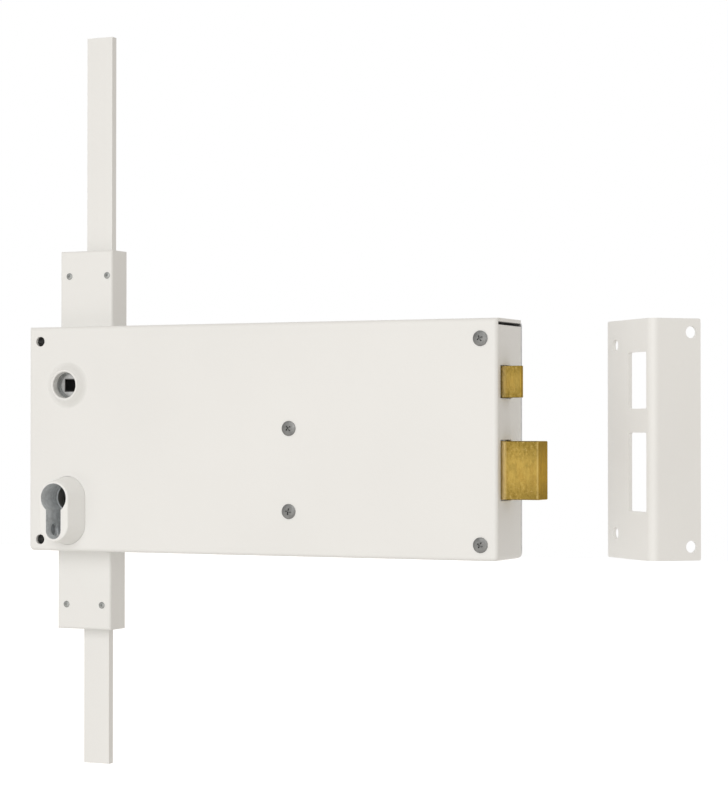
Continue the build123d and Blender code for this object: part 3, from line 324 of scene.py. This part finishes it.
def makeBrass(name, node, share=1.0, cornerHighlight=0.20, windowLight=0.9):
    # Sawn and tumbled brass: olive and orange blotches under fine upright mill lines, pitted
    # towards the upper and lower edges, with painted shade on those edges and towards the tip,
    # painted light where it runs in the window and on its end face, and a painted highlight at its
    # corner
    look = {"colour": (0.385, 0.265, 0.064), "shares": (1.0, 1.14), "lineBands": (0.32, 0.62),
            "olive": (0.235, 0.166, 0.038), "orange": (0.310, 0.186, 0.038),
            "wornBands": (0.40, 0.60), "spotBands": (0.40, 0.58), "pitBands": (0.36, 0.50),
            "grainBands": (0.56, 0.68), "bright": (0.62, 0.47, 0.21),
            "dark": (0.205, 0.138, 0.026), "pit": (0.135, 0.088, 0.014),
            "fade": (0.78, 0.78, 0.77), "end": (1.36, 1.21, 0.66), "tint": (1.0, 0.92, 0.62, 1),
            "lines": (700, 2, 0.6, (1, 1, 0.06)), "clouds": (120, 3, 0.6),
            "blotches": (330, 4, 0.65, (1, 1, 0.55)), "pits": (560, 3, 0.7, (1, 1, 0.8)),
            "roughness": (0.36, 0.58), "pitBump": (0.30, 0.0005), "lineBump": (0.22, 0.0002),
            "spots": 0.50, "edges": 0.66, "edgeInset": 0.0006, "edgeShare": 0.70,
            "pitted": (0.10, 0.70), "endPits": 0.3, "grains": 0.45,
            "fadeLength": 0.018, "endSkin": (0.0002, 0.0001),
            "window": (0.0001, 0.0008, 0.0020), "corner": (0.0009, 0.0003, 0.0005)}
    low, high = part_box(node)
    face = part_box("cover")[1].x
    material, tree, shader, place = startMaterial(name)
    setInputs(shader, Metallic=1.0, Specular_Tint=look["tint"])
    x, _, z = split(tree, place)
    patterns = (look["lines"], look["clouds"], look["blotches"], look["pits"])
    lines, clouds, blotches, pits = [noise(tree, place, *pattern) for pattern in patterns]
    # Mill lines, blotches, and painted shade on the upper and lower edges, leaving a painted sheen
    # along the middle
    colours = shades(look["colour"], *(part * share for part in look["shares"]))
    tone = ramp(tree, lines, look["lineBands"], colours)
    worn = ramp(tree, clouds, look["wornBands"], (look["olive"], look["orange"]))
    spots = ramp(tree, blotches, look["spotBands"], (white, black))
    tone = blend(tree, spread(tree, spots, 0.0, look["spots"]), tone, worn)
    middle, half = (low.z + high.z) / 2, (high.z - low.z) / 2
    soft = look["edgeShare"] * half
    inner = within(tree, z, middle, half - look["edgeInset"] - soft, soft)
    outer = calc(tree, "SUBTRACT", 1, inner)
    tone = blend(tree, calc(tree, "MULTIPLY", outer, look["edges"]), tone, look["dark"])
    # Painted shade: the brass darker towards the tip
    fade = rise(tree, x, face, face + look["fadeLength"])
    tone = blend(tree, fade, tone, look["fade"], "MULTIPLY")
    # Pits and the bright grains between them, fewer on the end face
    atEnd = within(tree, x, high.x, *look["endSkin"])
    pitted = calc(tree, "MULTIPLY", spread(tree, outer, *look["pitted"]),
                  spread(tree, atEnd, 1.0, look["endPits"]))
    deep = ramp(tree, pits, look["pitBands"], (white, black))
    raised = ramp(tree, pits, look["grainBands"], (black, white))
    tone = blend(tree, calc(tree, "MULTIPLY", deep, pitted), tone, look["pit"])
    grains = calc(tree, "MULTIPLY", raised, calc(tree, "MULTIPLY", pitted, look["grains"]))
    tone = blend(tree, grains, tone, look["bright"])
    # Painted light in a strip at the window, where the case's sheet shades the brass, and a painted
    # highlight just short of the end face; the end face takes painted light, lighter and warmer
    window, corner = look["window"], look["corner"]
    for middle, reach, amount in ((face + window[0], window[1:], windowLight),
                                  (high.x - corner[0], corner[1:], cornerHighlight)):
        strip = calc(tree, "MULTIPLY", within(tree, x, middle, *reach), amount)
        tone = blend(tree, strip, tone, look["bright"])
    # Painted light on the end face
    tone = blend(tree, atEnd, tone, look["end"], "MULTIPLY")
    link(tree, tone, shader.inputs["Base Color"])
    link(tree, spread(tree, blotches, *look["roughness"]), shader.inputs["Roughness"])
    dents = bump(tree, pits, *look["pitBump"])
    scored = bump(tree, lines, *look["lineBump"], under=dents)
    link(tree, scored, shader.inputs["Normal"])
    return material


def makeZinc(name, colour, grain=300, roughness=(0.30, 0.46)):
    # Plated or machined steel with a slight spangle
    look = {"shares": (0.84, 1.0, 1.10), "bands": (0.32, 0.5, 0.68), "smudgeShare": 0.6,
            "fineShare": 5, "spangle": (3, 0.6), "fine": (2, 0.5), "fineBump": (0.12, 0.0002)}
    material, tree, shader, place = startMaterial(name)
    setInputs(shader, Metallic=1.0)
    spangle = noise(tree, place, grain, *look["spangle"])
    tone = ramp(tree, spangle, look["bands"], shades(colour, *look["shares"]))
    link(tree, tone, shader.inputs["Base Color"])
    rough = spread(tree, noise(tree, place, grain * look["smudgeShare"]), *roughness)
    link(tree, rough, shader.inputs["Roughness"])
    fine = noise(tree, place, grain * look["fineShare"], *look["fine"])
    link(tree, bump(tree, fine, *look["fineBump"]), shader.inputs["Normal"])
    return material


def makeFollowerMetal():
    # Cast and blasted, with painted shade, near black, on the walls of the square for the spindle
    look = {"colour": (0.46, 0.46, 0.455), "shares": (0.88, 1.10), "bands": (0.35, 0.65),
            "grain": 420, "smudge": 210, "roughness": (0.40, 0.58), "fine": 2100,
            "fineBump": (0.14, 0.0002), "grease": (0.08, 0.08, 0.077), "squareHalf": 0.0041,
            "edge": 0.0001}
    material, tree, shader, place = startMaterial("followerMetal")
    setInputs(shader, Metallic=1.0)
    colours = shades(look["colour"], *look["shares"])
    tone = ramp(tree, noise(tree, place, look["grain"]), look["bands"], colours)
    # Painted shade in the spindle's square
    square = within(tree, fromSpindle(tree, place)[1], 0, look["squareHalf"], look["edge"])
    link(tree, blend(tree, square, tone, look["grease"]), shader.inputs["Base Color"])
    rough = spread(tree, noise(tree, place, look["smudge"]), *look["roughness"])
    link(tree, rough, shader.inputs["Roughness"])
    fine = noise(tree, place, look["fine"])
    link(tree, bump(tree, fine, *look["fineBump"]), shader.inputs["Normal"])
    return material


def makeNylon():
    # Natural nylon, a little translucent
    look = {"colour": (0.72, 0.70, 0.62), "shares": (0.95, 1.03), "bands": (0.35, 0.65),
            "cloud": 60, "smudge": 90, "roughness": (0.38, 0.5), "grain": 500,
            "grainBump": (0.08, 0.0002), "glow": 0.08}
    material, tree, shader, place = startMaterial("naturalNylon")
    colours = shades(look["colour"], *look["shares"])
    tone = ramp(tree, noise(tree, place, look["cloud"]), look["bands"], colours)
    link(tree, tone, shader.inputs["Base Color"])
    grain = noise(tree, place, look["grain"])
    link(tree, bump(tree, grain, *look["grainBump"]), shader.inputs["Normal"])
    rough = spread(tree, noise(tree, place, look["smudge"]), *look["roughness"])
    link(tree, rough, shader.inputs["Roughness"])
    setInputs(shader, Subsurface_Weight=look["glow"])
    return material


screwGrain, screwRoughness = 500, (0.36, 0.55)
finishes = {
    "white_paint": makeWhitePaint()[0],
    "zinc_plate": makeZinc("zincPlate", (0.46, 0.46, 0.455)),
    "screw_steel": makeZinc("screwSteel", (0.17, 0.17, 0.165), screwGrain, screwRoughness),
    "brass": makeBrass("boltBrass", "deadbolt_head"),
    "spring_steel": makeZinc("springSteel", (0.26, 0.26, 0.27), 700, (0.26, 0.4)),
    "nylon": makeNylon(),
}
ownFinishes = {
    "cover": makeCoverPaint(),
    # Painted light: the keeper's paint is a lighter copy of the white paint
    "keeper": makeWhitePaint("keeperPaint", share=1.03)[0],
    "handle_follower": makeFollowerMetal(),
    "follower_bush": makeZinc("bushZinc", (0.30, 0.305, 0.30)),
    "latch_head": makeBrass("latchBrass", "latch_head", share=0.80, cornerHighlight=0.0, windowLight=0.35),
}


def dressNodes():
    slots = {piece["node"]: piece["material_slot"] for piece in frame["record"]["subparts"]}
    for name, node in nodes.items():
        finish = ownFinishes[name] if name in ownFinishes else finishes[slots[name]]
        node.data.materials.clear()
        node.data.materials.append(finish)


dressNodes()
print("finishes on the packed pieces")


# Geometry trees for what repeats

def newTree(name, sizes):
    # A geometry tree with named inputs; returns the tree, its inputs and its output
    tree = bpy.data.node_groups.new(name, "GeometryNodeTree")
    face = tree.interface
    for way in ("INPUT", "OUTPUT"):
        face.new_socket("Geometry", in_out=way, socket_type="NodeSocketGeometry")
    for size, value in sizes.items():
        face.new_socket(size, in_out="INPUT", socket_type="NodeSocketFloat").default_value = value
    face.new_socket("finish", in_out="INPUT", socket_type="NodeSocketMaterial")
    return tree, addNode(tree, "NodeGroupInput").outputs, addNode(tree, "NodeGroupOutput").inputs


def shift(tree, geometry, offset):
    node = addNode(tree, "GeometryNodeTransform")
    link(tree, geometry, node.inputs["Geometry"])
    link(tree, offset, node.inputs["Translation"])
    return node.outputs["Geometry"]


def join(tree, *parts):
    node = addNode(tree, "GeometryNodeJoinGeometry")
    for part in parts:
        link(tree, part, node.inputs[0])
    return node.outputs[0]


def finishTree(tree, geometry, inputs, outputs):
    real = addNode(tree, "GeometryNodeRealizeInstances")
    paint = addNode(tree, "GeometryNodeSetMaterial")
    link(tree, geometry, real.inputs["Geometry"])
    link(tree, real.outputs["Geometry"], paint.inputs["Geometry"])
    link(tree, inputs["finish"], paint.inputs["Material"])
    link(tree, paint.outputs["Geometry"], outputs["Geometry"])


def addObject(name, data):
    item = bpy.data.objects.new(name, data)
    bpy.context.scene.collection.objects.link(item)
    return item


def bakeModifiers(name, carrier):
    # A plain object with the carrier's finished mesh; the carrier goes
    bpy.context.view_layer.update()
    graph = bpy.context.evaluated_depsgraph_get()
    baked = bpy.data.meshes.new_from_object(carrier.evaluated_get(graph))
    bpy.data.objects.remove(carrier)
    return addObject(name, baked)


def grow(name, tree, values, points=(), turns=()):
    # A plain mesh from a geometry tree, fed by loose points and their turns
    mesh = bpy.data.meshes.new(name + "Points")
    mesh.from_pydata(points, [], [])
    if turns:
        mesh.attributes.new("turn", "FLOAT", "POINT").data.foreach_set("value", turns)
    carrier = addObject(name + "Carrier", mesh)
    modifier = carrier.modifiers.new("shape", "NODES")
    modifier.node_group = tree
    for item in tree.interface.items_tree:
        if item.in_out == "INPUT" and item.name in values:
            modifier[item.identifier] = values[item.name]
    return bakeModifiers(name, carrier)


def joinUp(shape):
    bmesh.ops.remove_doubles(shape, verts=shape.verts, dist=1e-6)


def smooth(piece, angle):
    # Joined up, freed of flat slivers left by a cut, and smooth except past the angle
    shape = bmesh.new()
    shape.from_mesh(piece.data)
    joinUp(shape)
    faces = {}
    for face in shape.faces:
        faces.setdefault(frozenset(corner.index for corner in face.verts), []).append(face)
    slivers = [face for same in faces.values() if len(same) > 1 for face in same]
    bmesh.ops.delete(shape, geom=slivers, context="FACES")
    bmesh.ops.recalc_face_normals(shape, faces=shape.faces)
    for face in shape.faces:
        face.smooth = True
    for edge in shape.edges:
        edge.smooth = edge.calc_face_angle(0) < radians(angle)
    shape.to_mesh(piece.data)
    shape.free()
    return piece


# Screws

def makeDome(tree, inputs):
    # A flat cylinder whose top cap swells up
    edgeShare = 0.97
    head = addNode(tree, "GeometryNodeMeshCylinder", fill_type="TRIANGLE_FAN")
    setInputs(head, Vertices=40, Side_Segments=1, Fill_Segments=7)
    link(tree, inputs["headRadius"], head.inputs["Radius"])
    link(tree, inputs["rimHeight"], head.inputs["Depth"])
    x, y, z = split(tree, addNode(tree, "GeometryNodeInputPosition").outputs[0])
    whole = calc(tree, "POWER", inputs["headRadius"], 2)
    share = calc(tree, "DIVIDE", squareSum(tree, x, y), whole)
    drop = calc(tree, "SUBTRACT", 1, calc(tree, "MULTIPLY", share, edgeShare))
    height = calc(tree, "SQRT", calc(tree, "MAXIMUM", drop, 0))
    aboveRim = calc(tree, "SUBTRACT", height, sqrt(1 - edgeShare))
    lift = calc(tree, "MULTIPLY", aboveRim, inputs["domeHeight"])
    onTop = addNode(tree, "FunctionNodeCompare", data_type="FLOAT", operation="GREATER_THAN")
    link(tree, z, onTop.inputs["A"])
    swell = addNode(tree, "GeometryNodeSetPosition")
    link(tree, head.outputs["Mesh"], swell.inputs["Geometry"])
    link(tree, onTop.outputs["Result"], swell.inputs["Selection"])
    link(tree, vector(tree, z=lift), swell.inputs["Offset"])
    return swell.outputs["Geometry"]


def makeCross(tree, inputs):
    # Two crossed bars that narrow towards the floor of the recess, set at the crown
    floorShare = 0.5
    across = calc(tree, "MULTIPLY", inputs["crossReach"], 2)
    high = calc(tree, "MULTIPLY", inputs["crossDepth"], 2)
    bars = []
    for x, y in ((across, inputs["crossWidth"]), (inputs["crossWidth"], across)):
        bar = addNode(tree, "GeometryNodeMeshCube")
        link(tree, vector(tree, x, y, high), bar.inputs["Size"])
        bars.append(bar.outputs["Mesh"])
    spot = addNode(tree, "GeometryNodeInputPosition").outputs[0]
    low = addNode(tree, "FunctionNodeCompare", data_type="FLOAT", operation="LESS_THAN")
    link(tree, split(tree, spot)[2], low.inputs["A"])
    squeeze = addNode(tree, "ShaderNodeVectorMath", operation="MULTIPLY")
    link(tree, spot, squeeze.inputs[0])
    squeeze.inputs[1].default_value = (floorShare, floorShare, 1)
    taper = addNode(tree, "GeometryNodeSetPosition")
    link(tree, join(tree, *bars), taper.inputs["Geometry"])
    link(tree, low.outputs["Result"], taper.inputs["Selection"])
    link(tree, squeeze.outputs[0], taper.inputs["Position"])
    halfRim = calc(tree, "MULTIPLY", inputs["rimHeight"], 0.5)
    crown = calc(tree, "ADD", halfRim, inputs["domeHeight"])
    return shift(tree, taper.outputs["Geometry"], vector(tree, z=crown))


def makeScrewTree():
    # A pan head with a cross recess over a plain shank, placed at each point along -Y
    sizes = {"headRadius": 0.004, "rimHeight": 0.0006, "domeHeight": 0.001, "crossReach": 0.0026,
             "crossWidth": 0.0009, "crossDepth": 0.001, "shankRadius": 0.002, "shankLength": 0.01}
    tree, inputs, outputs = newTree("screwTree", sizes)
    cut = addNode(tree, "GeometryNodeMeshBoolean", operation="DIFFERENCE", solver="EXACT")
    cut.inputs["Self Intersection"].default_value = True
    link(tree, makeDome(tree, inputs), cut.inputs["Mesh 1"])
    link(tree, makeCross(tree, inputs), cut.inputs["Mesh 2"])
    halfRim = calc(tree, "MULTIPLY", inputs["rimHeight"], 0.5)
    head = shift(tree, cut.outputs["Mesh"], vector(tree, z=halfRim))
    shank = addNode(tree, "GeometryNodeMeshCylinder")
    setInputs(shank, Vertices=24)
    link(tree, inputs["shankRadius"], shank.inputs["Radius"])
    link(tree, inputs["shankLength"], shank.inputs["Depth"])
    halfShank = calc(tree, "MULTIPLY", inputs["shankLength"], -0.5)
    below = shift(tree, shank.outputs["Mesh"], vector(tree, z=halfShank))
    # One screw at each point, its cross turned by the point's own angle
    turn = addNode(tree, "GeometryNodeInputNamedAttribute", data_type="FLOAT")
    turn.inputs["Name"].default_value = "turn"
    scatter = addNode(tree, "GeometryNodeInstanceOnPoints")
    link(tree, inputs["Geometry"], scatter.inputs["Points"])
    link(tree, join(tree, head, below), scatter.inputs["Instance"])
    link(tree, vector(tree, pi / 2, turn.outputs["Attribute"], 0), scatter.inputs["Rotation"])
    finishTree(tree, scatter.outputs["Instances"], inputs, outputs)
    return tree


screwTree = makeScrewTree()


def makeScrews(name, node, look, places, turns):
    piece = grow(name, screwTree, look, places, turns)
    smooth(piece, angle=30)
    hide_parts(node)
    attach(piece, "case")
    return piece


def facePlaces(node, headRadius, seat, upright):
    # Two screws of a group, one at each end of the group's box
    low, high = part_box(node)
    if upright:
        x = (low.x + high.x) / 2
        return [(x, seat, low.z + headRadius), (x, seat, high.z - headRadius)]
    z = (low.z + high.z) / 2
    return [(low.x + headRadius, seat, z), (high.x - headRadius, seat, z)]


def makeCaseScrews():
    caseFace = mounts["left_fixing_holes"]["pos_m"][1]
    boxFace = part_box("upper_box_cover")[0].y
    corner = {"headRadius": 0.0045, "rimHeight": 0.0004, "domeHeight": 0.0007,
              "crossReach": 0.0026, "crossWidth": 0.0012, "crossDepth": 0.0010,
              "shankRadius": 0.0024, "shankLength": 0.014, "finish": finishes["screw_steel"]}
    middle = dict(corner, crossReach=0.0028)
    zinc = makeZinc("smallScrewZinc", (0.27, 0.275, 0.265), screwGrain, screwRoughness)
    small = {"headRadius": 0.0021, "rimHeight": 0.0002, "domeHeight": 0.0005,
             "crossReach": 0.0012, "crossWidth": 0.0005, "crossDepth": 0.0005,
             "shankRadius": 0.00125, "shankLength": 0.008, "finish": zinc}
    groups = (("cornerScrews", "cover_corner_screws", corner, caseFace, True, [0.5, 1.1]),
              ("middleScrews", "guide_screws", middle, caseFace, True, [0.2, 0.9]),
              ("upperBoxScrews", "upper_box_screws", small, boxFace, False, [0.3, 0.7]),
              ("lowerBoxScrews", "lower_box_screws", small, boxFace, False, [1.2, 0.1]))
    for name, node, look, seat, upright, turns in groups:
        places = facePlaces(node, look["headRadius"], seat, upright)
        makeScrews(name, node, look, places, turns)


makeCaseScrews()
print("screws in place")


# The latch's spring

def makeSpringTree():
    # A round wire wound along +X from the origin
    sizes = {"turns": 8.0, "coilRadius": 0.0039, "wireRadius": 0.00045, "length": 0.028}
    tree, inputs, outputs = newTree("springTree", sizes)
    coil = addNode(tree, "GeometryNodeCurveSpiral")
    setInputs(coil, Resolution=28)
    for size, socket in (("turns", "Rotations"), ("coilRadius", "Start Radius"),
                         ("coilRadius", "End Radius"), ("length", "Height")):
        link(tree, inputs[size], coil.inputs[socket])
    ring = addNode(tree, "GeometryNodeCurvePrimitiveCircle")
    setInputs(ring, Resolution=12)
    link(tree, inputs["wireRadius"], ring.inputs["Radius"])
    wire = addNode(tree, "GeometryNodeCurveToMesh")
    wire.inputs["Fill Caps"].default_value = True
    link(tree, coil.outputs["Curve"], wire.inputs["Curve"])
    link(tree, ring.outputs["Curve"], wire.inputs["Profile Curve"])
    lay = addNode(tree, "GeometryNodeTransform")
    lay.inputs["Rotation"].default_value = (0, pi / 2, 0)
    link(tree, wire.outputs["Mesh"], lay.inputs["Geometry"])
    finishTree(tree, lay.outputs["Geometry"], inputs, outputs)
    return tree


def makeLatchSpring():
    wire = 0.00045
    low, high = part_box("latch_spring")
    look = {"turns": 8.0, "coilRadius": (high.z - low.z) / 2 - wire, "wireRadius": wire,
            "length": high.x - low.x - 2 * wire, "finish": finishes["spring_steel"]}
    piece = grow("latchSpring", makeSpringTree(), look)
    centre = (low + high) / 2
    piece.data.transform(Matrix.Translation((low.x + wire, centre.y, centre.z)))
    smooth(piece, angle=60)
    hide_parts("latch_spring")
    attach(piece, "case")
    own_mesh(piece)
    return piece


makeLatchSpring()
print("latch spring wound")


# The cylinder's collar

def meshObject(name, shape):
    mesh = bpy.data.meshes.new(name)
    shape.to_mesh(mesh)
    shape.free()
    return addObject(name, mesh)


def makeDrill():
    # A cylinder along X that reaches from inside the keyhole to the pocket's floor
    look = {"reach": 0.003, "sides": 40}
    length = look["reach"] + pocket["depth"]
    spot = (pocket["x"] + look["reach"] - length / 2, pocket["y"], pocket["z"])
    lay = Matrix.Translation(spot) @ Matrix.Rotation(pi / 2, 4, "Y")
    drill = bmesh.new()
    bmesh.ops.create_cone(drill, cap_ends=True, segments=look["sides"], depth=length, matrix=lay,
                          radius1=pocket["radius"], radius2=pocket["radius"])
    return meshObject("drill", drill)


def makeCollar():
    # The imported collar, its tube drawn in towards the flange, with the pocket in its neck
    look = {"tubePast": -0.0355, "drawnIn": 0.0024}
    shape = bmesh.new()
    shape.from_mesh(nodes["cylinder_collar"].data)
    joinUp(shape)
    for corner in shape.verts:
        if corner.co.y > look["tubePast"]:
            corner.co.y -= look["drawnIn"]
    whole = meshObject("wholeCollar", shape)
    drill = makeDrill()
    cut = whole.modifiers.new("pocket", "BOOLEAN")
    cut.object = drill
    cut.solver = "EXACT"
    piece = bakeModifiers("cylinderCollar", whole)
    bpy.data.objects.remove(drill)
    piece.data.materials.clear()
    piece.data.materials.append(makeCollarPaint())
    smooth(piece, angle=30)
    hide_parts("cylinder_collar")
    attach(piece, "case")
    return piece


makeCollar()
print("collar drilled")


# The room: floor, world, lamps and camera

def makeFloor():
    # Far below the lock and lit up, so that it reads as plain white
    look = {"drop": 0.55, "reach": 12.0, "colour": (0.86, 0.86, 0.85, 1), "roughness": 0.9,
            "glow": 0.75}
    far, height = look["reach"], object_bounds()[0][2] - look["drop"]
    corners = [(x, y, height) for x, y in ((-far, -far), (far, -far), (far, far), (-far, far))]
    mesh = bpy.data.meshes.new("floor")
    mesh.from_pydata(corners, [], [(0, 1, 2, 3)])
    floor = addObject("floor", mesh)
    material, tree, shader, _ = startMaterial("paleFloor")
    setInputs(shader, Base_Color=look["colour"], Roughness=look["roughness"])
    glow = addNode(tree, "ShaderNodeEmission")
    setInputs(glow, Strength=look["glow"])
    lifted = addNode(tree, "ShaderNodeAddShader")
    link(tree, shader.outputs[0], lifted.inputs[0])
    link(tree, glow.outputs[0], lifted.inputs[1])
    rays = addNode(tree, "ShaderNodeLightPath").outputs
    seen = calc(tree, "MAXIMUM", rays["Is Camera Ray"], rays["Is Glossy Ray"])
    mixShaders(tree, seen, shader, lifted)
    mesh.materials.append(material)


def makeWorld():
    # Warm light all round, but plain white wherever the world itself is seen
    look = {"light": (1.0, 0.935, 0.865, 1), "strength": 0.60}
    world = bpy.data.worlds.new("studio")
    bpy.context.scene.world = world
    world.use_nodes = True
    tree = world.node_tree
    ambient = tree.nodes["Background"]
    setInputs(ambient, Color=look["light"], Strength=look["strength"])
    plain = addNode(tree, "ShaderNodeBackground")
    setInputs(plain, Color=(1, 1, 1, 1), Strength=1.0)
    rays = addNode(tree, "ShaderNodeLightPath").outputs
    mirrored = calc(tree, "MAXIMUM", rays["Is Glossy Ray"], rays["Is Transmission Ray"])
    seen = calc(tree, "MAXIMUM", rays["Is Camera Ray"], mirrored)
    mixShaders(tree, seen, ambient, plain, "World Output")


def makeLamps():
    lamps = {"keyLamp": {"place": (0.15, -2.6, 0.7), "target": (0, 0, 0),
                         "size": 1.6, "power": 24},
             "lowLamp": {"place": (-0.9, -1.3, -0.5), "target": (-0.15, 0, -0.05),
                         "size": 0.7, "power": 1.2}}
    for name, look in lamps.items():
        lamp = bpy.data.lights.new(name, "AREA")
        lamp.shape = "SQUARE"
        lamp.size = look["size"]
        lamp.energy = look["power"]
        holder = addObject(name, lamp)
        holder.location = look["place"]
        way = Vector(look["target"]) - Vector(look["place"])
        holder.rotation_euler = way.to_track_quat("-Z", "Y").to_euler()


def makeCamera():
    # The photograph's view: from the right front, almost level
    look = {"place": (0.654, -1.301, 0.00465), "way": (-0.4179, 0.9085, 0.0133), "lens": 106.2,
            "sensor": 36, "farthest": 60}
    lens = bpy.data.cameras.new("camera")
    lens.lens = look["lens"]
    lens.sensor_width = look["sensor"]
    lens.clip_end = look["farthest"]
    camera = addObject("camera", lens)
    camera.location = look["place"]
    camera.rotation_euler = Vector(look["way"]).to_track_quat("-Z", "Y").to_euler()
    bpy.context.scene.camera = camera


makeFloor()
makeWorld()
makeLamps()
makeCamera()
bpy.context.scene.view_settings.view_transform = "Standard"
print("room, lamps and camera ready")
